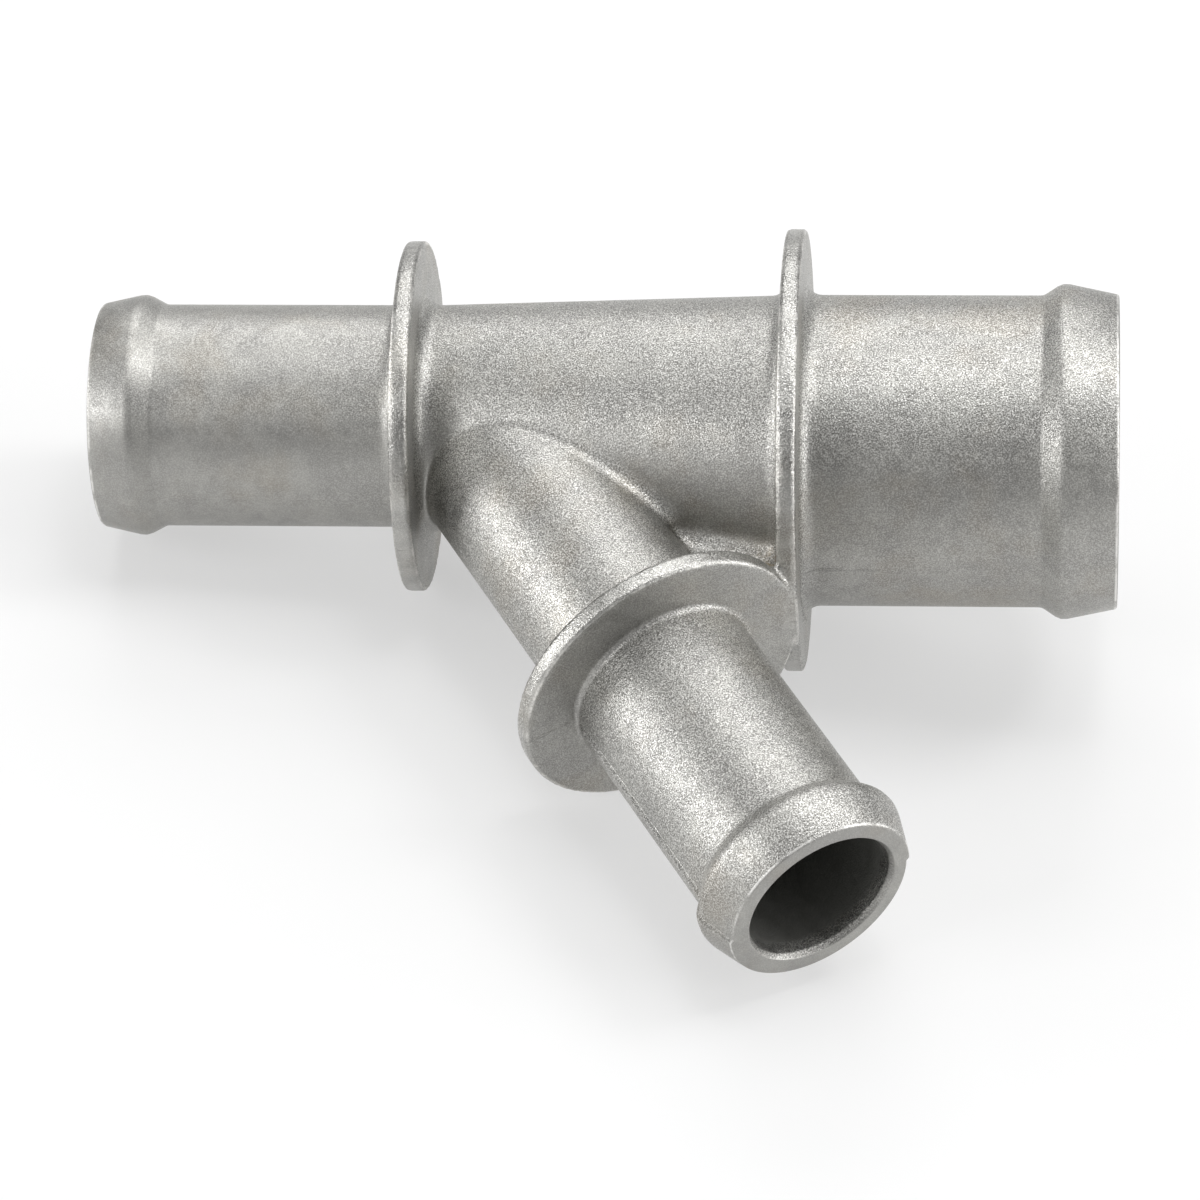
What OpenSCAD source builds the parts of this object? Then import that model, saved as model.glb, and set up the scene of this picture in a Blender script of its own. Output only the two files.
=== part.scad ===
// Coolant hose connector: one aluminium casting with three beaded hose
// spigots. Millimetres, +Z up. It lies as it comes to rest, on the rims of
// its three collars. Everything is drawn on the casting's own axes first:
// X along the run, from the small spigot to the big one, Z across the
// parting plane, and the origin where the branch's axis meets the run's.

/* [Run] */
// outside of the big spigot's barrel
big_d = 32; // [26:0.5:40]
// bore of the big spigot
big_bore = 27.6; // [20:0.2:29]
// big spigot's mouth to the axes' crossing
big_reach = 64.2; // [54:0.2:80]
// middle of the big collar to the axes' crossing
big_collar_at = 31.2; // [29.5:0.1:36]
// rim of the big collar
big_collar_d = 45.5; // [42:0.5:56]
// outside of the small spigot's barrel
small_d = 23.1; // [20:0.1:26]
// bore of the small spigot
small_bore = 19.3; // [14:0.1:20]
// small spigot's mouth to the axes' crossing
small_reach = 41.3; // [36:0.1:56]
// middle of the small collar to the axes' crossing
small_collar_at = 8.4; // [8:0.1:12]
// rim of the small collar
small_collar_d = 36.4; // [32:0.2:44]

/* [Branch] */
// angle between the branch and the run
branch_angle = 58; // [54:0.5:66]
// outside of the branch's barrel
branch_d = 19.3; // [17:0.1:21]
// outside of the branch between the body and its collar
root_d = 19.1; // [17.4:0.1:20.6]
// bore of the branch
branch_bore = 16.2; // [12:0.1:16.6]
// branch mouth to the axes' crossing
branch_reach = 67.6; // [58:0.2:84]
// middle of the branch collar to the axes' crossing
branch_collar_at = 34.9; // [33.5:0.1:38]
// rim of the branch collar
branch_collar_d = 31; // [28:0.2:34]

/* [Collars] */
// thickness at the rim
collar_t = 2; // [1.5:0.1:3]
// rounding of the rim's two edges
rim_round = 0.5; // [0.2:0.05:0.7]
// fillet at a collar's foot
foot_fillet = 1.6; // [0.8:0.1:2.4]

/* [Beads] */
// height of the big bead over its barrel
big_bead_h = 1.2; // [0.6:0.1:2]
// height of the small bead over its barrel
small_bead_h = 1; // [0.6:0.1:2]
// height of the branch bead over its barrel
branch_bead_h = 1.4; // [0.6:0.1:2]
// crest of the big bead to the mouth
big_bead_at = 5.4; // [4:0.1:8]
// crest of the small bead to the mouth
small_bead_at = 4.2; // [3.4:0.1:8]
// crest of the branch bead to the mouth
branch_bead_at = 4.2; // [3.4:0.1:8]
// length of a bead's fall to its barrel
bead_fall = 2.3; // [1.6:0.1:4]
// rounding of a bead's crest
bead_round = 1.6; // [0.8:0.1:2.5]
// a mouth's outer edge over its barrel's radius
lip_rise = 0.1; // [0:0.05:0.4]
// chamfer of a mouth's inner edge
mouth_break = 0.25; // [0.1:0.05:0.5]

/* [Body] */
// blend between the branch and the body
crotch_fillet = 1.5; // [1:0.1:3]
// thickness of the web in the crotch
web_t = 8; // [3:0.2:10]
// fillet between the body and the web
web_fillet = 2.4; // [1.6:0.1:3]
// step inwards where the body's core meets the straight ones
core_step = 0.45; // [0.35:0.05:0.8]

/* [Hidden] */

$fn = 64;
SINK = 0.02;  // a tangent piece starts this far inside its neighbour
PRESS = 0.06; // a rolled ball is pressed this far into both faces
BURY = 0.6;   // a blend reaches this far under the surfaces that it joins
DEEP = 2.6;   // and its inner edge this far
ARC = 3;      // faces across a blend
TURN = 40;    // faces along a blend
WEB_TURN = 10; // faces along the web's blend

// small spigot and collars lie flush with the big ones on the far side
function offset_y() = (big_d - small_d) / 2;

// The body's cone: its far side runs along the run
big_face = big_collar_at - collar_t / 2;
small_face = -small_collar_at + collar_t / 2;
cone_slope = (big_d - small_d) / (big_face - small_face);
cone_half = atan(cone_slope) / 2;
cone_tip = [small_face - small_d / cone_slope, big_d / 2, 0];
cone_dir = [cos(cone_half), -sin(cone_half), 0];

// The branch's axes
bdir = [cos(branch_angle), -sin(branch_angle), 0];
bside = [sin(branch_angle), cos(branch_angle), 0];
UP = [0, 0, 1];

function unit(v) = v / norm(v);
function root2(a, b, c) = (-b + sqrt(b * b - 4 * a * c)) / (2 * a);

// where a ball of radius f, started at p and moved along v, touches the cone
function touch(p, v, f) =
    let (q = p - cone_tip, u = cone_dir, sa = sin(cone_half), ca = cos(cone_half),
         a = q * u, b = v * u, q1 = q * v)
    p + v * root2(
        ca * ca * (1 - b * b) - sa * sa * b * b,
        2 * ca * ca * (q1 - a * b) - 2 * f * sa * b - 2 * sa * sa * a * b,
        ca * ca * (q * q - a * a) - f * f - 2 * f * sa * a - sa * sa * a * a);

// outward normal of the cone nearest to c
function cone_normal(c) =
    let (q = c - cone_tip, h = q * cone_dir)
    unit(q - h * cone_dir) * cos(cone_half) - cone_dir * sin(cone_half);

// one section of a rolled blend: a ball of radius f at c between two faces
// whose outward normals there are n1 and n2
function blend_section(c, n1, n2, f) =
    let (w = acos(n1 * n2), t = unit(n2 - (n1 * n2) * n1))
    concat(
        [for (k = [0 : ARC]) let (a = w * k / ARC) c - f * (cos(a) * n1 + sin(a) * t)],
        [c - (f + BURY) * n2,
         c - (f + DEEP) * (n1 + n2) / (1 + n1 * n2),
         c - (f + BURY) * n1]);

// a ring of sections, or an open row of them with its two ends closed
module blend(sections, ring = true) {
    n = len(sections);
    m = len(sections[0]);
    polyhedron(
        points = [for (s = sections) for (p = s) p],
        faces = concat(
            [for (i = [0 : n - (ring ? 1 : 2)]) for (j = [0 : m - 1])
                let (i2 = (i + 1) % n, j2 = (j + 1) % m,
                     a = i * m + j, b = i * m + j2, c = i2 * m + j2, d = i2 * m + j)
                each [[a, c, b], [a, d, c]]],
            ring ? [] : [[for (j = [0 : m - 1]) j], [for (j = [m - 1 : -1 : 0]) (n - 1) * m + j]]),
        convexity = 6);
}

// Profiles, drawn as radius against distance along the axis
module box2(r0, r1, x0, x1) { translate([r0, x0]) square([r1 - r0, x1 - x0]); }

// disc with a rounded rim
module collar2(r_in, r_out, at) {
    h = collar_t / 2;
    box2(r_in - BURY, r_out - rim_round, at - h, at + h);
    box2(r_out - rim_round - SINK, r_out, at - h + rim_round, at + h - rim_round);
    for (s = [-1, 1])
        translate([r_out - rim_round, at + s * (h - rim_round)]) circle(r = rim_round, $fn = 14);
}

// fillet at a collar's foot, on the side s of the face at x
module foot2(r, x, s) {
    difference() {
        box2(r - BURY, r + foot_fillet, min(x - s * BURY, x + s * foot_fillet),
             max(x - s * BURY, x + s * foot_fillet));
        translate([r + foot_fillet + SINK, x + s * (foot_fillet + SINK)])
            circle(r = foot_fillet + SINK, $fn = 16);
        box2(r + foot_fillet - SINK, r + foot_fillet + 1, min(x, x + s * foot_fillet) - 1,
             max(x, x + s * foot_fillet) + 1);
    }
}

// tangent point on a circle (centre c, radius r) of the line from p, left or right
function tangent(p, c, r, s) =
    let (d = norm(p - c), a = acos(r / d), v = (p - c) / d)
    c + r * [v[0] * cos(a) - s * v[1] * sin(a), v[1] * cos(a) + s * v[0] * sin(a)];

// bead with its lead-in cone; the mouth is at x = mouth, the barrel below it
module bead2(r, rise, at, mouth) {
    c = [r + rise - bead_round, mouth - at];
    lip = [r + lip_rise, mouth];
    foot = [r - SINK, mouth - at - bead_fall];
    t1 = tangent(lip, c, bead_round - SINK, -1);
    t2 = tangent(foot, c, bead_round - SINK, 1);
    polygon([[r - BURY - 1, mouth], lip, t1, c, t2, foot, [r - BURY - 1, foot[1]]]);
    intersection() {
        translate(c) circle(r = bead_round, $fn = 20);
        box2(r - BURY, r + rise + 1, mouth - at - bead_fall, mouth);
    }
}

// a whole spigot from `start` to `mouth`, turned about Z
module spigot(r, start, mouth, rise, at, collar_at, collar_r) {
    rotate_extrude() {
        box2(0, r, start, mouth - at);
        box2(0, r - BURY, start, mouth);
        bead2(r, rise, at, mouth);
        collar2(r, collar_r, collar_at);
        foot2(r, collar_at + collar_t / 2, 1);
    }
}

// along +X of the casting, and along the branch
module along_x() { rotate([0, 90, 0]) children(); }
module along_branch() { rotate([0, 0, -branch_angle]) rotate([0, 90, 0]) children(); }

module body_cone() {
    h0 = (small_face - cone_tip[0]) * 0.9;
    h1 = (big_face - cone_tip[0]) * 1.1;
    intersection() {
        translate(cone_tip) rotate([0, 0, -cone_half]) rotate([0, 90, 0])
            translate([0, 0, h0])
                cylinder(h = h1 - h0, r1 = h0 * tan(cone_half), r2 = h1 * tan(cone_half));
        translate([small_face - 0.5, -big_d, -big_d]) cube([big_face - small_face + 1, 2 * big_d, 2 * big_d]);
    }
}

// blends of the body with the branch and with a collar's face
function branch_ring() = [for (k = [0 : TURN - 1])
    let (a = 360 * k / TURN, n1 = cos(a) * bside + sin(a) * UP,
         g = crotch_fillet - PRESS, c = touch((root_d / 2 + g) * n1, bdir, g))
    blend_section(c, n1, cone_normal(c), crotch_fillet)];

function collar_ring(x, s) = [for (k = [0 : TURN - 1])
    let (a = -s * 360 * k / TURN, v = [0, cos(a), sin(a)],
         mid = big_d / 2 - (x - cone_tip[0]) * cone_slope / 2,
         g = foot_fillet - PRESS, c = touch([x + s * g, mid, 0], v, g))
    blend_section(c, [s, 0, 0], cone_normal(c), foot_fillet)];

// blend of the body with the upper face of the web, from where the branch's
// axis leaves the body to inside the big collar
function web_row() =
    let (g = web_fillet - PRESS, high = web_t / 2 + g,
         from = big_d / 2 / tan(branch_angle), to = big_face + 0.4)
    [for (k = [0 : WEB_TURN])
        let (x = from + (to - from) * k / WEB_TURN, c = touch([x, 0, high], [0, -1, 0], g))
        blend_section(c, cone_normal(c), UP, web_fillet)];

// web that closes the crotch, between the two pipes and their collars
module web() {
    s0 = branch_collar_at - collar_t / 2;
    corner = (big_face - s0 * bdir[0]) / bside[0];
    p = [[0, 0], [big_face + 0.4, 0], [big_face + 0.4, (s0 * bdir + corner * bside)[1]],
         [(s0 * bdir + corner * bside)[0], (s0 * bdir + corner * bside)[1]],
         [s0 * bdir[0], s0 * bdir[1]]];
    translate([0, 0, -web_t / 2]) linear_extrude(web_t) polygon(p);
}

module outside() {
    along_x() spigot(big_d / 2, big_face - 0.4, big_reach, big_bead_h, big_bead_at,
                     big_collar_at, big_collar_d / 2);
    translate([0, offset_y(), 0]) mirror([1, 0, 0]) along_x()
        spigot(small_d / 2, small_collar_at - collar_t / 2, small_reach, small_bead_h,
               small_bead_at, small_collar_at, small_collar_d / 2);
    along_branch() {
        spigot(branch_d / 2, branch_collar_at - 0.3, branch_reach, branch_bead_h,
               branch_bead_at, branch_collar_at, branch_collar_d / 2);
        cylinder(h = branch_collar_at, d = root_d);
        rotate_extrude() foot2(root_d / 2, branch_collar_at - collar_t / 2, -1);
    }
    body_cone();
    blend(branch_ring());
    blend(collar_ring(small_face, 1));
    blend(collar_ring(big_face, -1));
    for (s = [0, 1]) mirror([0, 0, s]) blend(web_row(), false);
    web();
}

module bores() {
    // big bore, small bore and the branch's
    along_x() translate([0, 0, big_face]) cylinder(h = big_reach, d = big_bore);
    translate([0, offset_y(), 0]) mirror([1, 0, 0]) along_x()
        translate([0, 0, -small_face]) cylinder(h = small_reach, d = small_bore);
    along_branch() cylinder(h = branch_reach + 1, d = branch_bore);
    // tapered bore of the body, from axis to axis: its core meets the two
    // straight ones with a small step inwards
    run = norm([big_face - small_face, offset_y()]);
    r0 = small_bore / 2 - core_step;
    r1 = big_bore / 2 - core_step;
    grow = (r1 - r0) / run;
    intersection() {
        translate([small_face, offset_y(), 0])
            rotate([0, 0, -atan(offset_y() / (big_face - small_face))])
                rotate([0, 90, 0]) translate([0, 0, -r0])
                    cylinder(h = run + r0 + r1, r1 = r0 - grow * r0, r2 = r1 + grow * r1);
        translate([small_face - 0.2, -big_d, -big_d])
            cube([big_face - small_face + 0.4, 2 * big_d, 2 * big_d]);
    }
    // broken edges of the three mouths
    along_x() translate([0, 0, big_reach - mouth_break]) mouth_cut(big_bore);
    translate([0, offset_y(), 0]) mirror([1, 0, 0]) along_x()
        translate([0, 0, small_reach - mouth_break]) mouth_cut(small_bore);
    along_branch() translate([0, 0, branch_reach - mouth_break]) mouth_cut(branch_bore);
}

module mouth_cut(d) {
    cylinder(h = 1, d1 = d, d2 = d + 2);
}

// At rest: the plane under the three rims
// rounded rims as [centre, axis, radius of the rounding's middle]
function rims() = [for (s = [-1, 1]) each [
    [[big_collar_at + s * (collar_t / 2 - rim_round), 0, 0], [1, 0, 0], big_collar_d / 2 - rim_round],
    [[-small_collar_at + s * (collar_t / 2 - rim_round), offset_y(), 0], [1, 0, 0],
     small_collar_d / 2 - rim_round],
    [(branch_collar_at + s * (collar_t / 2 - rim_round)) * bdir, bdir,
     branch_collar_d / 2 - rim_round]]];
// the point of a rim that lies farthest along v
function far_point(rim, v) = rim[0] + rim[2] * unit(v - (v * rim[1]) * rim[1]);
// of the two edges of collar i, the one that lies lower
function low_point(i, n) =
    let (a = far_point(rims()[i], -n), b = far_point(rims()[i + 3], -n)) a * n < b * n ? a : b;
function settle(n, k) = k == 0 ? n :
    let (a = low_point(0, n), b = low_point(1, n), c = low_point(2, n),
         m = unit(cross(b - a, c - a)))
    settle(m[2] < 0 ? -m : m, k - 1);
rest_up = settle(UP, 8);
roll = atan2(rest_up[1], rest_up[2]);
pitch = -atan2(rest_up[0], norm([rest_up[1], rest_up[2]]));
// the resting frame's axes, on the casting's own
rest_x = [cos(pitch), sin(pitch) * sin(roll), sin(pitch) * cos(roll)];
rest_y = [0, cos(roll), -sin(roll)];

// every round that can reach farthest: [centre, axis, radius, rounding]
function bead_rounds(dir, base, reach, at, r, rise) = [
    [base + (reach - at) * dir, dir, r + rise - bead_round, bead_round],
    [base + reach * dir, dir, r + lip_rise, 0]];
ROUNDS = concat(
    [for (g = rims()) [g[0], g[1], g[2], rim_round]],
    bead_rounds([1, 0, 0], [0, 0, 0], big_reach, big_bead_at, big_d / 2, big_bead_h),
    bead_rounds([-1, 0, 0], [0, offset_y(), 0], small_reach, small_bead_at, small_d / 2, small_bead_h),
    bead_rounds(bdir, [0, 0, 0], branch_reach, branch_bead_at, branch_d / 2, branch_bead_h));
function farthest(v) = max([for (g = ROUNDS) g[0] * v + g[2] * norm(v - (v * g[1]) * g[1]) + g[3]]);
function middle(v) = (farthest(v) - farthest(-v)) / 2;

// down on the rims, with the origin under the middle of the box
module lay_down() {
    translate([-middle(rest_x), -middle(rest_y), farthest(-rest_up)])
        rotate([0, pitch, 0]) rotate([roll, 0, 0]) children();
}

module hose_connector() {
    color("silver") lay_down() difference() {
        outside();
        bores();
    }
}

hose_connector();
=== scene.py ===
"""Coolant hose connector: one aluminium casting with three beaded hose spigots.
Sizes are in millimetres on the casting's own axes: X along the run towards the
big spigot, Z across the parting plane, origin where the branch meets the run."""
from collections import namedtuple
from math import atan, cos, pi, radians, sin, tan

import bmesh
import bpy
import numpy as np
from mathutils import Matrix, Vector


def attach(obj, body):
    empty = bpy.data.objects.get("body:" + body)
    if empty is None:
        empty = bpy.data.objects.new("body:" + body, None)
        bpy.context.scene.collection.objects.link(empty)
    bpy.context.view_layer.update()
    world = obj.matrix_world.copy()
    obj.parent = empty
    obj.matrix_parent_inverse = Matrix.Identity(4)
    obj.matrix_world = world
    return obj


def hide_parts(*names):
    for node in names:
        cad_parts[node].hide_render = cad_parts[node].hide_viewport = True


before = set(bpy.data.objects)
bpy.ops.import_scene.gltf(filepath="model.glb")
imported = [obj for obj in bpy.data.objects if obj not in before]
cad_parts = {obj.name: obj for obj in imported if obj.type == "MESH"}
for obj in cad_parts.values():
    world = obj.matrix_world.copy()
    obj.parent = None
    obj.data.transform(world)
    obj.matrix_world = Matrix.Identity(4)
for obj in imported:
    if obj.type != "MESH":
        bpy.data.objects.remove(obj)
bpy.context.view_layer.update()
scene = bpy.context.scene

# The camera
# A long lens looks down on the part from the front, and is rolled a little.
CAMERA_AT = (0.000274, -0.415679, 0.366548)
CAMERA_RIGHT = Vector((0.993858, 0.070456, 0.085335))
CAMERA_UP = Vector((-0.110656, 0.640754, 0.759729))
LENS = 161.374          # its focal length in mm
SENSOR = 36.0           # its width in mm
NEAREST = 0.01          # in metres, as the camera's place is

camera = bpy.data.objects.new("camera", bpy.data.cameras.new("camera"))
scene.collection.objects.link(camera)
camera.data.lens = LENS
camera.data.sensor_fit = "HORIZONTAL"
camera.data.sensor_width = SENSOR
camera.data.clip_start = NEAREST
turned = Matrix((CAMERA_RIGHT, CAMERA_UP, CAMERA_RIGHT.cross(CAMERA_UP))).transposed()
camera.matrix_world = Matrix.Translation(CAMERA_AT) @ turned.to_4x4()
scene.camera = camera

# The outside between the collars
# The body, the branch's root, the web in the crotch and the three collars come
# out of one pair of die halves, so every joint between them is a rolled
# fillet. It is cut off 4 mm out along each barrel.
VOXEL = 0.46            # the mesh's own cell
BRANCH_ANGLE = radians(58)
BIG_R, SMALL_R, BRANCH_R, ROOT_R = 16.0, 11.55, 9.65, 9.55
BIG_FACE, SMALL_FACE, BRANCH_FACE = 30.2, 7.4, 33.9     # inner faces of the collars
COLLAR_T, RIM_ROUND, FOOT_FILLET, BRANCH_OUTER_FOOT = 2.0, 0.4, 1.6, 0.2
CROTCH_FILLET, WEB_HALF = 1.5, 2.5
BODY_WEB_FILLET, WEB_CREASE_FILLET, HEEL_FILLET, COLLARS_FILLET = 2.0, 1.0, 0.5, 0.35
WEB_NEAR, WEB_CLEAR = 0.5, 3.0                          # the crease ends between these heights over the web
HEEL_AT, HEEL_RUN = -5.5, 4.0                           # the heel's crease opens to a fillet along this run
TOUCH_NEAR, TOUCH_CLEAR = -0.5, 1.5                     # the two collars' crease opens over these distances
ROOT_BACK = 5.0         # the branch's root starts this far behind the crossing, inside the body
STUB = 4.0              # barrel left on beyond each collar
HIDDEN = 0.9            # body and barrels end this deep in a collar
ROOT_HIDDEN, WEB_IN_BIG, WEB_IN_BRANCH = 1.0, 0.8, 0.5  # how deep the root and the web end in a collar
ALONG = np.array([1.0, 0.0, 0.0])
ACROSS = np.array([0.0, 1.0, 0.0])
UP = np.array([0.0, 0.0, 1.0])
CROSSING = np.zeros(3)
SMALL_AT = np.array([0.0, BIG_R - SMALL_R, 0.0])        # a point on the small spigot's axis
BRANCH = np.array([cos(BRANCH_ANGLE), -sin(BRANCH_ANGLE), 0.0])
BRANCH_SIDE = np.array([sin(BRANCH_ANGLE), cos(BRANCH_ANGLE), 0.0])

# each spigot's axis, its radius, its collar's radius and how far out its collar's inner face is
Spigot = namedtuple("Spigot", "at along r collar_r face")
BIG_SPIGOT = Spigot(CROSSING, ALONG, BIG_R, 22.75, BIG_FACE)
SMALL_SPIGOT = Spigot(SMALL_AT, -ALONG, SMALL_R, 18.2, SMALL_FACE)
BRANCH_SPIGOT = Spigot(CROSSING, BRANCH, BRANCH_R, 15.5, BRANCH_FACE)
SPIGOTS = (BIG_SPIGOT, SMALL_SPIGOT, BRANCH_SPIGOT)

# the body is a cone that is flush with both spigots on the far side, so its axis is tilted
slope = 2 * (BIG_R - SMALL_R) / (BIG_FACE + SMALL_FACE)
CONE_HALF = atan(slope) / 2
CONE_TIP = np.array([-SMALL_FACE - 2 * SMALL_R / slope, BIG_R, 0.0])
CONE_ALONG = np.array([cos(CONE_HALF), -sin(CONE_HALF), 0.0])


# A form gives each point its distance to a surface and the way out of it.
def tube(p, at, along, r):
    out = p - at
    out = out - (out @ along)[:, None] * along
    far = np.linalg.norm(out, axis=1)
    return far - r, out / np.maximum(far, 1e-9)[:, None]


def plane(p, at, out):
    return (p - at) @ out, np.broadcast_to(out, p.shape)


def cone(p, tip, along, half):
    q = p - tip
    h = q @ along
    out = q - h[:, None] * along
    far = np.linalg.norm(out, axis=1)
    away = out / np.maximum(far, 1e-9)[:, None]
    return far * cos(half) - h * sin(half), away * cos(half) - along * sin(half)


def inside_both(a, b):
    pick = a[0] > b[0]
    return np.where(pick, a[0], b[0]), np.where(pick[:, None], a[1], b[1])


def joined(a, b):
    pick = a[0] < b[0]
    return np.where(pick, a[0], b[0]), np.where(pick[:, None], a[1], b[1])


def rolled(a, b, r):
    """Two forms joined by a fillet, as a ball of radius r leaves it."""
    far, out = joined(a, b)
    c = np.clip((a[1] * b[1]).sum(1), -0.999, 0.999)
    u, v = r - a[0], r - b[0]
    ball = ((u - c * v)[:, None] * a[1] + (v - c * u)[:, None] * b[1]) / (1 - c * c)[:, None]
    reach = np.linalg.norm(ball, axis=1)
    pick = (u > c * v) & (v > c * u) & (reach > 1e-6)
    ball_out = ball / np.maximum(reach, 1e-9)[:, None]
    return np.where(pick, r - reach, far), np.where(pick[:, None], ball_out, out)


def eased(x, start, end, low, high):
    """A value that goes from low to high while x goes from start to end."""
    t = np.clip((x - start) / (end - start), 0, 1)
    return low + (high - low) * t * t * (3 - 2 * t)


def rounded(a, b, r):
    """What two forms share, with its edge rounded."""
    far, out = rolled((-a[0], -a[1]), (-b[0], -b[1]), r)
    return -far, -out


def slab(p, at, along, start, end):
    """What lies between two places along an axis."""
    return inside_both(plane(p, at + end * along, along), plane(p, at + start * along, -along))


def outward(p, spigot, r, start):
    """A tube on a spigot's axis, from start outwards."""
    return inside_both(tube(p, spigot.at, spigot.along, r),
                       plane(p, spigot.at + start * spigot.along, -spigot.along))


def barrel(p, spigot):
    return outward(p, spigot, spigot.r, spigot.face + COLLAR_T - HIDDEN)


def collar(p, spigot):
    thickness = slab(p, spigot.at, spigot.along, spigot.face, spigot.face + COLLAR_T)
    return rounded(tube(p, spigot.at, spigot.along, spigot.collar_r), thickness, RIM_ROUND)


def outside_form(p):
    body = inside_both(cone(p, CONE_TIP, CONE_ALONG, CONE_HALF),
                       slab(p, CROSSING, ALONG, -(SMALL_FACE + HIDDEN), BIG_FACE + HIDDEN))
    root = inside_both(tube(p, CROSSING, BRANCH, ROOT_R),
                       slab(p, CROSSING, BRANCH, -ROOT_BACK, BRANCH_FACE + ROOT_HIDDEN))
    web_ends = inside_both(plane(p, (BIG_FACE + WEB_IN_BIG) * ALONG, ALONG),
                           plane(p, (BRANCH_FACE + WEB_IN_BRANCH) * BRANCH, BRANCH))
    web_sides = inside_both(plane(p, CROSSING, -BRANCH_SIDE), plane(p, CROSSING, ACROSS))
    web = inside_both(inside_both(slab(p, CROSSING, UP, -WEB_HALF, WEB_HALF), web_ends), web_sides)
    hub = rolled(body, web, BODY_WEB_FILLET)
    for spigot in (BIG_SPIGOT, SMALL_SPIGOT):
        hub = joined(hub, barrel(p, spigot))
    hub = rolled(hub, collar(p, SMALL_SPIGOT), FOOT_FILLET)
    # the branch's root blends into the body, but meets the web and the small collar's foot
    # in a tight crease
    off_web = eased(np.abs(p[:, 2]), WEB_HALF + WEB_NEAR, WEB_HALF + WEB_CLEAR, 0, 1)
    off_foot = eased(p[:, 0], HEEL_AT, HEEL_AT + HEEL_RUN, 0, 1)
    radius = np.where(p[:, 0] > 0, WEB_CREASE_FILLET + (CROTCH_FILLET - WEB_CREASE_FILLET) * off_web,
                      HEEL_FILLET + (CROTCH_FILLET - HEEL_FILLET) * off_foot)
    hub = joined(rolled(hub, root, radius), barrel(p, BRANCH_SPIGOT))
    # the branch's collar has a fillet at its inner foot, and almost none at its outer one
    side = collar(p, BRANCH_SPIGOT)
    foot = eased(side[0] - hub[0], TOUCH_NEAR, TOUCH_CLEAR, COLLARS_FILLET, FOOT_FILLET)
    beyond = p @ BRANCH > BRANCH_FACE + COLLAR_T / 2
    hub = rolled(hub, side, np.where(beyond, BRANCH_OUTER_FOOT, FOOT_FILLET))
    return rolled(hub, collar(p, BIG_SPIGOT), foot)


def bar(bm, at, along, start, end, r0, r1=None):
    """A closed round bar, straight or tapered, along an axis."""
    middle = Vector(at + along * (start + end) / 2)
    turn = Vector(along).to_track_quat("Z", "Y").to_matrix().to_4x4()
    bmesh.ops.create_cone(bm, cap_ends=True, segments=128, radius1=r0, radius2=r0 if r1 is None else r1,
                          depth=end - start, matrix=Matrix.Translation(middle) @ turn)


def fused(bm, cell):
    """One even skin round all the shapes in bm."""
    mesh = bpy.data.meshes.new("fused")
    bm.to_mesh(mesh)
    bm.free()
    obj = bpy.data.objects.new("fused", mesh)
    scene.collection.objects.link(obj)
    skin = obj.modifiers.new("skin", "REMESH")
    skin.mode = "VOXEL"
    skin.voxel_size = cell
    made = bpy.data.meshes.new_from_object(obj.evaluated_get(bpy.context.evaluated_depsgraph_get()))
    bpy.data.objects.remove(obj)
    bm = bmesh.new()
    bm.from_mesh(made)
    return bm


def cut(bm, at, out):
    """Cuts off what lies beyond a plane."""
    bmesh.ops.bisect_plane(bm, geom=bm.verts[:] + bm.edges[:] + bm.faces[:], dist=1e-4,
                           plane_co=Vector(at), plane_no=Vector(out), clear_outer=True)


WIDEST = 20.0           # no barrel or bore reaches this far from its own axis
ROUNDS, LAYINGS, EASE = 6, 6, 0.6


def settled(bm, form, cell, ends):
    """Evens the mesh out and lays each point on the form, with its rims held at the ends.
    Its limits are shares of the mesh's cell."""
    bmesh.ops.remove_doubles(bm, verts=bm.verts, dist=cell * 0.2)
    loose = np.array([v.is_boundary for v in bm.verts])
    parting = loose & (np.abs(np.array([v.co.z for v in bm.verts])) < cell * 0.25)
    for k in range(ROUNDS):
        if k:
            bmesh.ops.smooth_vert(bm, verts=[v for v in bm.verts if not v.is_boundary], factor=EASE,
                                  use_axis_x=True, use_axis_y=True, use_axis_z=True)
        p = np.array([v.co for v in bm.verts])
        for _ in range(LAYINGS):
            far, out = form(p)
            p = p - far[:, None] * out
            for spigot, end in zip(SPIGOTS, ends):
                off = (p - spigot.at) @ spigot.along - end
                near_axis = tube(p, spigot.at, spigot.along, 0)[0] < WIDEST
                edge = loose & (np.abs(off) < cell * 0.5) & near_axis
                p[edge] -= off[edge, None] * spigot.along
            p[parting, 2] = 0
        for v, co in zip(bm.verts, p):
            v.co = co
    bmesh.ops.remove_doubles(bm, verts=bm.verts, dist=cell * 0.1)


blank = bmesh.new()
# the cone's axis is tilted, so its bar starts and ends deep inside the collars
PAST_SMALL, PAST_BIG = 1.6, 2.1
OVERLAP = 2.0           # bars reach this far beyond the planes that cut them off
IN_COLLAR = 0.2         # a barrel's bar starts this deep in its collar
start = (-SMALL_FACE - PAST_SMALL - CONE_TIP[0]) / cos(CONE_HALF)
end = (BIG_FACE + PAST_BIG - CONE_TIP[0]) / cos(CONE_HALF)
bar(blank, CONE_TIP, CONE_ALONG, start, end, start * tan(CONE_HALF), end * tan(CONE_HALF))
bar(blank, CROSSING, BRANCH, -ROOT_BACK, BRANCH_FACE + ROOT_HIDDEN, ROOT_R)
for spigot in SPIGOTS:
    start, end = spigot.face + IN_COLLAR, spigot.face + COLLAR_T + STUB + OVERLAP
    bar(blank, spigot.at, spigot.along, start, end, spigot.r)
    bar(blank, spigot.at, spigot.along, spigot.face, spigot.face + COLLAR_T, spigot.collar_r)
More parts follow.
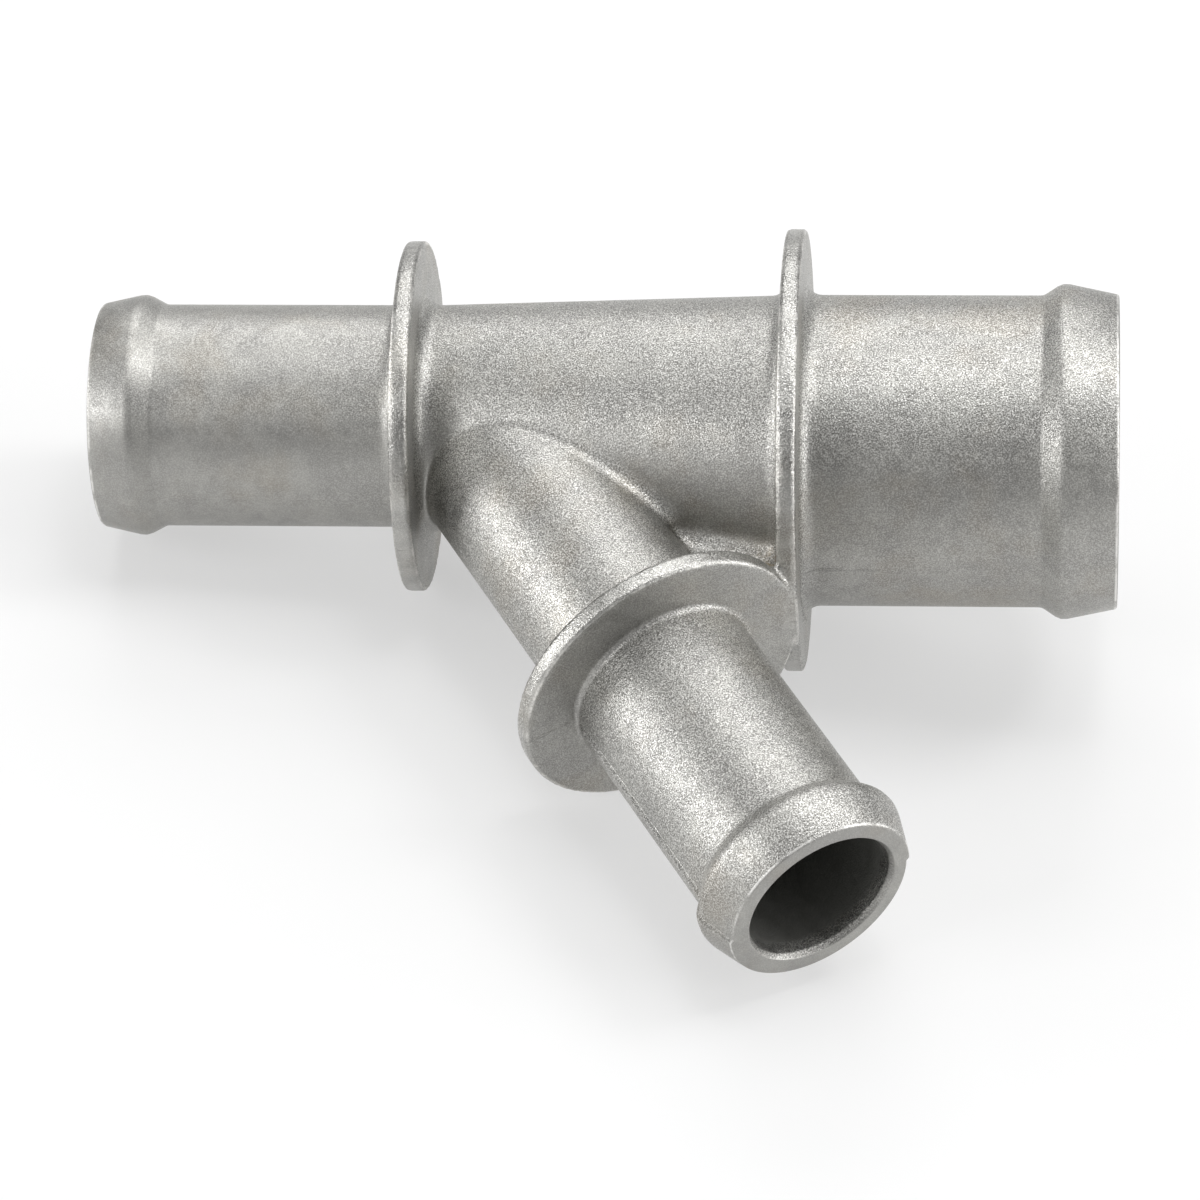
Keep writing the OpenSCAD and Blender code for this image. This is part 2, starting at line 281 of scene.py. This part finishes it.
# the web's outer corners lie inside the two collars' rims
WEB_ALONG_BIG, WEB_ALONG_BRANCH, CORNER_IN_BIG = 17.2, 14.0, 0.6
branch_end = (BRANCH_FACE + WEB_IN_BRANCH) * BRANCH
web_corners = [CROSSING, BIG_FACE * ALONG, (BIG_FACE + CORNER_IN_BIG, -WEB_ALONG_BIG, 0),
               branch_end + WEB_ALONG_BRANCH * BRANCH_SIDE, branch_end]
low = blank.faces.new([blank.verts.new((c[0], c[1], -WEB_HALF)) for c in web_corners])
raised = bmesh.ops.extrude_face_region(blank, geom=[low])["geom"]
top = [g for g in raised if isinstance(g, bmesh.types.BMVert)]
bmesh.ops.translate(blank, verts=top, vec=(0, 0, 2 * WEB_HALF))
bmesh.ops.recalc_face_normals(blank, faces=blank.faces)
shell = fused(blank, VOXEL)
cut(shell, CROSSING, -UP)
stub_ends = [spigot.face + COLLAR_T + STUB for spigot in SPIGOTS]
for spigot, end in zip(SPIGOTS, stub_ends):
    cut(shell, spigot.at + spigot.along * end, spigot.along)
settled(shell, outside_form, VOXEL, stub_ends)

# The coolant's way in the body
# Three cores met in here, so the way is smooth and tapers from bore to bore.
CORE_VOXEL = 1.0
BORES = BIG_BORE, SMALL_BORE, BRANCH_BORE = 13.8, 9.65, 8.1     # radii, in the spigots' order
BORE_FROM = (26.0, 5.0, 3.0)                            # where each core's bar starts, inside the body
BRANCH_CORE_FROM = 2.0  # the branch's bore starts this far out from the crossing
CORE_END = 3.0          # each straight bore starts this far outside its collar's inner face
taper = np.array([BIG_FACE + SMALL_FACE, -SMALL_AT[1], 0.0])
TAPER_RUN = float(np.linalg.norm(taper))
TAPER_ALONG = taper / TAPER_RUN
TAPER_START = np.array([-SMALL_FACE, SMALL_AT[1], 0.0])
TAPER_HALF = atan((BIG_BORE - SMALL_BORE) / TAPER_RUN)
TAPER_TIP = TAPER_START - TAPER_ALONG * SMALL_BORE / tan(TAPER_HALF)


def way_form(p):
    way = inside_both(cone(p, TAPER_TIP, TAPER_ALONG, TAPER_HALF),
                      slab(p, CROSSING, ALONG, -SMALL_FACE, BIG_FACE))
    way = joined(way, outward(p, BIG_SPIGOT, BIG_BORE, BIG_FACE))
    way = joined(way, outward(p, SMALL_SPIGOT, SMALL_BORE, SMALL_FACE))
    return joined(way, outward(p, BRANCH_SPIGOT, BRANCH_BORE, BRANCH_CORE_FROM))


core = bmesh.new()
# the taper's bar is 1 mm longer at each end
bar(core, TAPER_START, TAPER_ALONG, -1, TAPER_RUN + 1,
    SMALL_BORE - tan(TAPER_HALF), BIG_BORE + tan(TAPER_HALF))
for spigot, bore, start in zip(SPIGOTS, BORES, BORE_FROM):
    bar(core, spigot.at, spigot.along, start, spigot.face + CORE_END + OVERLAP, bore)
way = fused(core, CORE_VOXEL)
cut(way, CROSSING, -UP)
way_ends = [spigot.face + CORE_END for spigot in SPIGOTS]
for spigot, end in zip(SPIGOTS, way_ends):
    cut(way, spigot.at + spigot.along * end, spigot.along)
settled(way, way_form, CORE_VOXEL, way_ends)
bmesh.ops.reverse_faces(way, faces=way.faces)
# the material finds the way, unblasted and painted in shade, by this layer, which is 1 in the way and 0
# outside
in_way = way.verts.layers.float.new("bore_depth")
for v in way.verts:
    v[in_way] = 1.0
way_mesh = bpy.data.meshes.new("way")
way.to_mesh(way_mesh)
way.free()
bore_depth = shell.verts.layers.float.new("bore_depth")
shell.from_mesh(way_mesh)

# The three spigots
# Each barrel runs on from its stub to a bead and a plain mouth, and the skin
# turns in at the mouth and runs back down the bore.
MOUTHS = (64.2, 41.3, 67.6)     # how far out each spigot ends, in the spigots' order
BEAD_ROUND, MOUTH_ROUND, BORE_ROUND, LIP_RISE, BEAD_FALL = 1.6, 0.3, 0.15, 0.1, 2.3
BEAD_FOOT, CHAMFER_ROUND = 1.0, 0.4
CHAMFER = 0.6           # depth of the chamfer behind a mouth that narrows
BLAST_IN = 0.6          # the blast reached this much deeper than the chamfer
RING_GAP, RING_TURN = 2.4, 0.36     # at most so far, and so many radians of a bead, from ring to ring


def bent(corners):
    """The line through corners (along, radius, rounding), with each corner rounded."""
    line = []
    for k, (x, r, turn) in enumerate(corners):
        here = np.array([x, r])
        if not turn:
            line.append(here)
            continue
        back = np.array(corners[k - 1][:2]) - here
        ahead = np.array(corners[k + 1][:2]) - here
        back, ahead = back / np.linalg.norm(back), ahead / np.linalg.norm(ahead)
        half = np.arccos(np.clip(back @ ahead, -1, 1)) / 2
        centre = here + (back + ahead) / np.linalg.norm(back + ahead) * turn / sin(half)
        first = here + back * turn / tan(half) - centre
        last = here + ahead * turn / tan(half) - centre
        sweep = pi - 2 * half
        count = max(2, int(round(sweep / RING_TURN)))
        for j in range(count + 1):
            a = sweep * j / count
            line.append(centre + (first * sin(sweep - a) + last * sin(a)) / sin(sweep))
    full = [line[0]]
    for point in line[1:]:
        last = full[-1]
        count = max(1, int(np.linalg.norm(point - last) / RING_GAP + 0.5))
        full += [last + (point - last) * (j + 1) / count for j in range(count)]
    return full


def apex(foot, lip, crest, turn):
    """Where the bead's two flanks would meet above its rounded crest."""
    def flank(point, side):
        to = np.array(crest) - np.array(point)
        far = np.linalg.norm(to)
        lift = np.arcsin(turn / far) * side
        return np.array([to[0] * cos(lift) - to[1] * sin(lift),
                         to[0] * sin(lift) + to[1] * cos(lift)]) / far
    a, b = flank(foot, 1), flank(lip, -1)
    t = np.linalg.solve(np.array([a, -b]).T, np.array(lip) - np.array(foot))
    return np.array(foot) + a * t[0]


def loose_ring(bm, spigot, place, r):
    """The open edges that go round a spigot's axis at a place along it."""
    def on_ring(v):
        co = np.array([v.co])
        off = (co[0] - spigot.at) @ spigot.along - place
        return abs(off) < 1e-3 and abs(tube(co, spigot.at, spigot.along, r)[0][0]) < 0.5
    return [e for e in bm.edges if e.is_boundary and all(on_ring(v) for v in e.verts)]


def beaded_end(bm, spigot, bore, mouth, rise, crest_at, narrows):
    """Runs a barrel on from its stub to its bead and mouth, and back down its bore."""
    start, deep = spigot.face + COLLAR_T + STUB, spigot.face + CORE_END
    foot, lip = (mouth - crest_at - BEAD_FALL, spigot.r), (mouth, spigot.r + LIP_RISE)
    top = apex(foot, lip, (mouth - crest_at, spigot.r + rise - BEAD_ROUND), BEAD_ROUND)
    line = bent([(start, spigot.r, 0), (*foot, BEAD_FOOT), (*top, BEAD_ROUND), (*lip, MOUTH_ROUND),
                 (mouth, bore, BORE_ROUND), (mouth - CHAMFER, bore - narrows, CHAMFER_ROUND),
                 (deep, bore, 0)])
    ring = loose_ring(bm, spigot, start, spigot.r)
    inner = loose_ring(bm, spigot, deep, bore)
    for x, radius in line[1:]:
        made = bmesh.ops.extrude_edge_only(bm, edges=ring)["geom"]
        verts = [g for g in made if isinstance(g, bmesh.types.BMVert)]
        ring = [g for g in made if isinstance(g, bmesh.types.BMEdge)]
        p = np.array([v.co for v in verts])
        out = tube(p, spigot.at, spigot.along, 0)[1]
        unblasted_and_shaded = radius < bore + 0.01 and x < mouth - CHAMFER - BLAST_IN
        for v, co in zip(verts, spigot.at + spigot.along * x + out * radius):
            v.co = co
            v[bore_depth] = 1.0 if unblasted_and_shaded else 0.0
    bmesh.ops.bridge_loops(bm, edges=ring + inner)


# in the spigots' order: the bead's rise, how far from the mouth its crest is, and by how much the
# chamfer narrows the bore
BEADS = ((1.2, 5.4, 0.1), (1.0, 4.2, 0.1), (1.4, 4.2, 0.35))
for spigot, bore, mouth, bead in zip(SPIGOTS, BORES, MOUTHS, BEADS):
    beaded_end(shell, spigot, bore, mouth, *bead)

# the second die half is the mirror of the first
bmesh.ops.mirror(shell, geom=shell.verts[:] + shell.edges[:] + shell.faces[:], axis="Z", merge_dist=1e-3)
bmesh.ops.recalc_face_normals(shell, faces=shell.faces)

# the lower die half stood a little to one side, which leaves a step along the branch's barrel,
# but none in its bore
DIE_STEP, STEP_RUN = 0.3, 1.5
OFF_BORE, OVER_BARREL = 0.4, 2.0        # it takes what lies between these distances from bore and barrel
barrel_start = BRANCH_FACE + COLLAR_T
for v in shell.verts:
    deep = v.co.dot(Vector(BRANCH))
    across = v.co.cross(Vector(BRANCH)).length
    on_barrel = deep > barrel_start and BRANCH_BORE + OFF_BORE < across < BRANCH_R + OVER_BARREL
    if on_barrel and v.co.z < -0.01:
        share = float(eased(deep, barrel_start, barrel_start + STEP_RUN, 0, 1))
        v.co -= Vector(BRANCH_SIDE) * DIE_STEP * share

# it lies as it comes to rest, on the rims of its collars
LYING_X = Vector((0.990923, 0.0, 0.134428))
LYING_Z = Vector((-0.132114, -0.184746, 0.973866))
LYING_AT = Vector((-11.5899, 19.4895, 18.4211))
METRES = 0.001
lying = Matrix((LYING_X, LYING_Z.cross(LYING_X), LYING_Z)).transposed().to_4x4()
to_row = Matrix.Scale(METRES, 4) @ Matrix.Translation(LYING_AT) @ lying
bmesh.ops.transform(shell, matrix=to_row, verts=shell.verts)
mesh = bpy.data.meshes.new("cast_connector")
shell.to_mesh(mesh)
shell.free()
mesh.shade_smooth()
casting = bpy.data.objects.new("cast_connector", mesh)
scene.collection.objects.link(casting)

# Bead-blasted cast aluminium: a satin grey metal with a fine sandy grain, faint
# warm and cool clouds, and the line of the die's parting all the way round.
# The finest specks of the blast are too fine to show, so they are drawn about a pixel wide.
ROUGHNESS, RIM_ROUGHNESS, BORE_ROUGHER = 0.48, 0.36, 0.2
GRAIN_HIGH, PEEL_HIGH, LINE_HIGH, RIM_HIGH = 0.042, 0.030, 0.11, 0.08   # heights of the reliefs, in mm
LINE_HALF = 0.26        # half the width of the parting line, in mm
# each pattern: the width of its features in mm, its finer octaves, and how rough they are
PATTERNS = {
    "grain": (0.17, 1, 0.5),
    "speck": (0.14, 0, 0.5),
    "peel": (1.3, 2, 0.5),
    "cloud": (5.0, 4, 0.6),
    "patch": (11.0, 3, 0.6),
    "glint_spread": (2.6, 3, 0.6),
    "rim_grain": (0.30, 3, 0.6),
    "stain": (0.9, 3, 0.6),
    "parting": (4.0, 2, 0.5),
}
MATH, VECTOR = "ShaderNodeMath", "ShaderNodeVectorMath"
TIMES = (MATH, {"operation": "MULTIPLY"})
PLUS = (MATH, {"operation": "ADD"})
MINUS = (MATH, {"operation": "SUBTRACT"})
SIZE = (MATH, {"operation": "ABSOLUTE"})
MOST = (MATH, {"operation": "MAXIMUM"})
RANGE = ("ShaderNodeMapRange", {"interpolation_type": "SMOOTHSTEP"})    # value, from, to, new from, new to
MIX = ("ShaderNodeMix", {"data_type": "RGBA"})


def node(tree, kind, settings, inputs, out=0):
    """Adds a node with its settings, gives its inputs values or links, and returns an output."""
    made = tree.nodes.new(kind)
    for name, value in settings.items():
        setattr(made, name, value)
    if not isinstance(inputs, dict):
        inputs = dict(enumerate(inputs))
    for name, value in inputs.items():
        if isinstance(value, bpy.types.NodeSocket):
            tree.links.new(value, made.inputs[name])
        else:
            made.inputs[name].default_value = value
    return made.outputs[out]


def paint(hex_colour):
    """sRGB hex to linear."""
    parts = [int(hex_colour[k:k + 2], 16) / 255 for k in (1, 3, 5)]
    return [c / 12.92 if c <= 0.04045 else ((c + 0.055) / 1.055) ** 2.4 for c in parts] + [1.0]


blasted = bpy.data.materials.new("bead_blasted_cast_aluminium")
blasted.use_nodes = True
metal = blasted.node_tree
shader = metal.nodes["Principled BSDF"]
# object coordinates, turned to the casting's own axes, in millimetres
back = lying.to_3x3().transposed()
place = node(metal, "ShaderNodeTexCoord", {}, (), "Object")
mm = node(metal, "ShaderNodeMapping", {}, {"Vector": place, "Scale": [1 / METRES] * 3,
                                           "Rotation": back.to_euler(), "Location": -(back @ LYING_AT)})
noise = {}
for name, (size, detail, rough) in PATTERNS.items():
    grit = {"Vector": mm, "Scale": 1 / size, "Detail": detail, "Roughness": rough}
    noise[name] = node(metal, "ShaderNodeTexNoise", {}, grit)

# The collars' rims were trimmed, so they are coarser in relief, and they carry a painted sheen and, most of
# all on their edges, a painted glint.
# The mouths were cut flat, so they are smoother, and their outer edge, the lip, carries a painted glint.
# Each mask is 1 where the finish is full, and fades over these distances in mm.
RIM_UNDER, RIM_OVER, RIM_SIDE = (0.5, 0.2), (0.3, 0.6), (0.05, 0.2)
EDGE_SIDE, MOUTH_DEEP, LIP_DEEP, LIP_WALL = (0.3, 0.05), (0.15, 0.05), (0.4, 0.2), (0.9, 1.2)
on_rim, on_edge, on_mouth, on_lip = 0.0, 0.0, 0.0, 0.0
for spigot, bore, mouth in zip(SPIGOTS, BORES, MOUTHS):
    off_axis = node(metal, VECTOR, {"operation": "SUBTRACT"}, (mm, spigot.at))
    deep = node(metal, VECTOR, {"operation": "DOT_PRODUCT"}, (off_axis, spigot.along), "Value")
    turned_out = node(metal, VECTOR, {"operation": "CROSS_PRODUCT"}, (off_axis, spigot.along))
    across = node(metal, VECTOR, {"operation": "LENGTH"}, (turned_out,), "Value")
    off = node(metal, *SIZE, (node(metal, *MINUS, (deep, spigot.face + COLLAR_T / 2)),))
    r, half = spigot.collar_r, COLLAR_T / 2
    under = node(metal, *RANGE, (across, r - RIM_UNDER[0], r - RIM_UNDER[1], 0, 1))
    over = node(metal, *RANGE, (across, r + RIM_OVER[0], r + RIM_OVER[1], 1, 0))
    beside = node(metal, *RANGE, (off, half + RIM_SIDE[0], half + RIM_SIDE[1], 1, 0))
    rim = node(metal, *TIMES, (node(metal, *TIMES, (under, over)), beside))
    near_edge = node(metal, *RANGE, (off, half - EDGE_SIDE[0], half - EDGE_SIDE[1], 0, 1))
    edge = node(metal, *TIMES, (rim, near_edge))
    cut_face = node(metal, *RANGE, (deep, mouth - MOUTH_DEEP[0], mouth - MOUTH_DEEP[1], 0, 1))
    near_mouth = node(metal, *RANGE, (deep, mouth - LIP_DEEP[0], mouth - LIP_DEEP[1], 0, 1))
    outer = node(metal, *RANGE, (across, bore + LIP_WALL[0], bore + LIP_WALL[1], 0, 1))
    lip = node(metal, *TIMES, (near_mouth, outer))
    on_rim, on_edge = node(metal, *MOST, (on_rim, rim)), node(metal, *MOST, (on_edge, edge))
    on_mouth, on_lip = node(metal, *MOST, (on_mouth, cut_face)), node(metal, *MOST, (on_lip, lip))
on_lip = node(metal, *TIMES, (on_lip, node(metal, *MINUS, (1, on_mouth))))

# A brown stain has dried in the pocket between the two collars, where the collars' edges are left without
# their painted glint.
POCKET_AT, STAIN_R, DULL = (29.0, -17.5, 2.8), 2.2, (3, 7)
from_pocket = node(metal, VECTOR, {"operation": "DISTANCE"}, (mm, POCKET_AT), "Value")
on_edge = node(metal, *TIMES, (on_edge, node(metal, *RANGE, (from_pocket, *DULL, 0, 1))))
stain = node(metal, *TIMES, (node(metal, *RANGE, (from_pocket, 0, STAIN_R, 1, 0)),
                             node(metal, *RANGE, (noise["stain"], 0.42, 0.6, 0, 1))))

# The small spigot, the cut mouths and what faces the front took less of the blast than the rest.
LESS_BLAST = (-25, 5)   # along the run, in mm
MOUTH_SHARE, SMALL_SHARE, FRONT_SHARE = 0.4, 0.5, 0.4   # how much of it each shows
FRONT = LYING_X.cross(LYING_Z)
run = node(metal, "ShaderNodeSeparateXYZ", {}, (mm,), "X")
normal = node(metal, "ShaderNodeTexCoord", {}, (), "Normal")
front = node(metal, VECTOR, {"operation": "DOT_PRODUCT"}, (normal, FRONT), "Value")
blast = node(metal, *MINUS, (1, node(metal, *TIMES, (on_mouth, 1 - MOUTH_SHARE))))
blast = node(metal, *TIMES, (blast, node(metal, *RANGE, (run, *LESS_BLAST, SMALL_SHARE, 1))))
blast = node(metal, *TIMES, (blast, node(metal, *RANGE, (front, 0.5, 0.85, 1, FRONT_SHARE))))

# The way for the coolant wasn't blasted, so it is dull from casting, and it is painted dark as shade, with
# a ragged end.
depth = node(metal, "ShaderNodeAttribute", {"attribute_name": "bore_depth"}, (), "Fac")
ragged = node(metal, *TIMES, (node(metal, *MINUS, (noise["peel"], 0.5)), 0.3))
dull_and_shaded = node(metal, *RANGE, (node(metal, *PLUS, (depth, ragged)), 0.30, 0.65, 0, 1))

# Coat by coat, each with where it covers and its colour.
# patches that break up the painted sheen and painted glints on the rims, their edges and the lips
glint_patches = node(metal, *RANGE, (noise["glint_spread"], 0.40, 0.62, 0.1, 1))
SPECKED = 0.62          # how much of the metal's colour a speck hides
dark_specks = node(metal, *RANGE, (noise["speck"], 0.28, 0.50, SPECKED, 0))
light_specks = node(metal, *RANGE, (noise["speck"], 0.50, 0.72, 0, SPECKED))
# painted sheen over the rims and painted glint along their edges
rim_painted_sheen, edge_painted_glint = node(metal, *TIMES, (on_rim, glint_patches)), node(metal, *TIMES, (on_edge, glint_patches))
glints = node(metal, *RANGE, (noise["rim_grain"], 0.35, 0.6, 0.2, 0.9))
coats = (
    (node(metal, *RANGE, (noise["cloud"], 0.35, 0.65, 0, 1)), "#afaeaa"),
    (node(metal, *RANGE, (noise["patch"], 0.50, 0.70, 0, 0.4)), "#a39b8e"),
    # painted shade: faces turned to the front are darkened
    (node(metal, *RANGE, (front, 0.45, 0.85, 0, 0.12)), "#868480"),
    (node(metal, *TIMES, (dark_specks, blast)), "#605f5b"),
    (node(metal, *TIMES, (light_specks, blast)), "#f0efeb"),
    # painted glint along the mouths' lips
    (node(metal, *TIMES, (on_lip, node(metal, *TIMES, (glint_patches, 0.8)))), "#f1f0ed"),
    # painted sheen: the collars' rims are lightened
    (node(metal, *TIMES, (rim_painted_sheen, 0.3)), "#d2d1cd"),
    # painted glint: a bright line along the rims' edges
    (node(metal, *TIMES, (edge_painted_glint, glints)), "#eceae5"),
    # painted shade down the way for the coolant
    (dull_and_shaded, "#868682"),
    (node(metal, *TIMES, (stain, 0.8)), "#8d7a55"),
)
colour = paint("#a3a29f")
for cover, coat in coats:
    colour = node(metal, *MIX, {"Factor": cover, "A": colour, "B": paint(coat)}, "Result")
metal.links.new(colour, shader.inputs["Base Color"])
shader.inputs["Metallic"].default_value = 1.0
rough = node(metal, *RANGE, (noise["peel"], 0.3, 0.7, ROUGHNESS - 0.05, ROUGHNESS + 0.05))
rough = node(metal, *MINUS, (rough, node(metal, *TIMES, (on_rim, ROUGHNESS - RIM_ROUGHNESS))))
rough = node(metal, *PLUS, (rough, node(metal, *TIMES, (dull_and_shaded, BORE_ROUGHER))))
metal.links.new(rough, shader.inputs["Roughness"])

# The die's halves closed worst round the branch, so the parting line is highest there.
WORST, BEST = 16, 40    # from the branch's collar, in mm
height = node(metal, *SIZE, (node(metal, "ShaderNodeSeparateXYZ", {}, (mm,), "Z"),))
broken = node(metal, *RANGE, (noise["parting"], 0.42, 0.58, 0.3, 1))
line = node(metal, *TIMES, (node(metal, *RANGE, (height, 0, LINE_HALF, 1, 0)), broken))
from_branch = node(metal, VECTOR, {"operation": "DISTANCE"}, (mm, BRANCH_FACE * BRANCH), "Value")
line = node(metal, *TIMES, (line, node(metal, *RANGE, (from_branch, WORST, BEST, 1, 0.25))))
relief = None
for form, high, strength in (
        (line, LINE_HIGH, 1.0),
        (noise["peel"], PEEL_HIGH, 1.0),
        (node(metal, *TIMES, (noise["rim_grain"], on_rim)), RIM_HIGH, 1.0),
        (noise["grain"], GRAIN_HIGH, blast)):
    bump = {"Height": form, "Distance": high * METRES, "Strength": strength}
    if relief:
        bump["Normal"] = relief
    relief = node(metal, "ShaderNodeBump", {}, bump)
metal.links.new(relief, shader.inputs["Normal"])
mesh.materials.append(blasted)

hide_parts("hose_connector")
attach(casting, "root")

# Floor, light and world
# A white floor takes the object's shadow. What the lamps leave grey on it is
# filled in for the camera and for reflections.
FLOOR_HALF, FLOOR_FILL = 3, 0.47        # half its width in metres, and how strongly it is filled in
floor_bm = bmesh.new()
bmesh.ops.create_grid(floor_bm, x_segments=1, y_segments=1, size=FLOOR_HALF)
floor_mesh = bpy.data.meshes.new("floor")
floor_bm.to_mesh(floor_mesh)
floor_bm.free()
floor = bpy.data.objects.new("floor", floor_mesh)
scene.collection.objects.link(floor)
white = bpy.data.materials.new("white_paper")
white.use_nodes = True
paper = white.node_tree
seen = 0.0
for ray in ("Is Camera Ray", "Is Glossy Ray", "Is Transmission Ray"):
    seen = node(paper, *MOST, (seen, node(paper, "ShaderNodeLightPath", {}, (), ray)))
fill = node(paper, "ShaderNodeEmission", {}, {"Strength": node(paper, *TIMES, (seen, FLOOR_FILL))})
matt = node(paper, "ShaderNodeBsdfDiffuse", {}, {"Color": paint("#adadad")})
both = node(paper, "ShaderNodeAddShader", {}, (matt, fill))
paper.links.new(both, paper.nodes["Material Output"].inputs["Surface"])
floor_mesh.materials.append(white)

AIM = Vector((0, 0, 0.02))              # the lamps face this point, in metres


def softbox(name, right, above, away, width, height, power):
    """A rectangular lamp that faces the object, placed by its angles from the camera's view."""
    lamp = bpy.data.lights.new(name, "AREA")
    lamp.shape = "RECTANGLE"
    lamp.size, lamp.size_y, lamp.energy = width, height, power
    box = bpy.data.objects.new(name, lamp)
    scene.collection.objects.link(box)
    side, lift = radians(right), radians(above)
    towards = turned @ Vector((sin(side) * cos(lift), sin(lift), cos(side) * cos(lift)))
    box.location = AIM + towards * away
    box.rotation_euler = (-towards).to_track_quat("-Z", "Y").to_euler()


# degrees right of the view and above it, metres away, width and height in metres, and watts
softbox("key", 15, 54, 0.7, 0.3, 0.3, 0.42)
softbox("small_key", 12, 46, 0.7, 0.12, 0.12, 0.34)
softbox("overhead", 10, 62, 0.8, 0.8, 0.5, 1.79)
softbox("left", -47, 5, 0.7, 0.25, 0.35, 1.52)
softbox("far_left", -95, 5, 0.7, 0.3, 0.5, 3.25)
softbox("high_left", -88, 34, 0.7, 0.3, 0.3, 0.15)
softbox("right", 60, 2, 0.7, 0.2, 0.3, 0.73)
softbox("high_right", 58, 43, 0.7, 0.2, 0.2, 1.08)
softbox("far_right", 85, 5, 0.7, 0.3, 0.5, 1.59)
softbox("behind", 5, 100, 0.8, 0.5, 0.3, 1.58)

WORLD_STRENGTH = 0.35
world = bpy.data.worlds.new("studio")
scene.world = world
world.use_nodes = True
sky = world.node_tree.nodes["Background"].inputs
sky["Color"].default_value = (1, 1, 1, 1)
sky["Strength"].default_value = WORLD_STRENGTH

scene.view_settings.view_transform = "Standard"
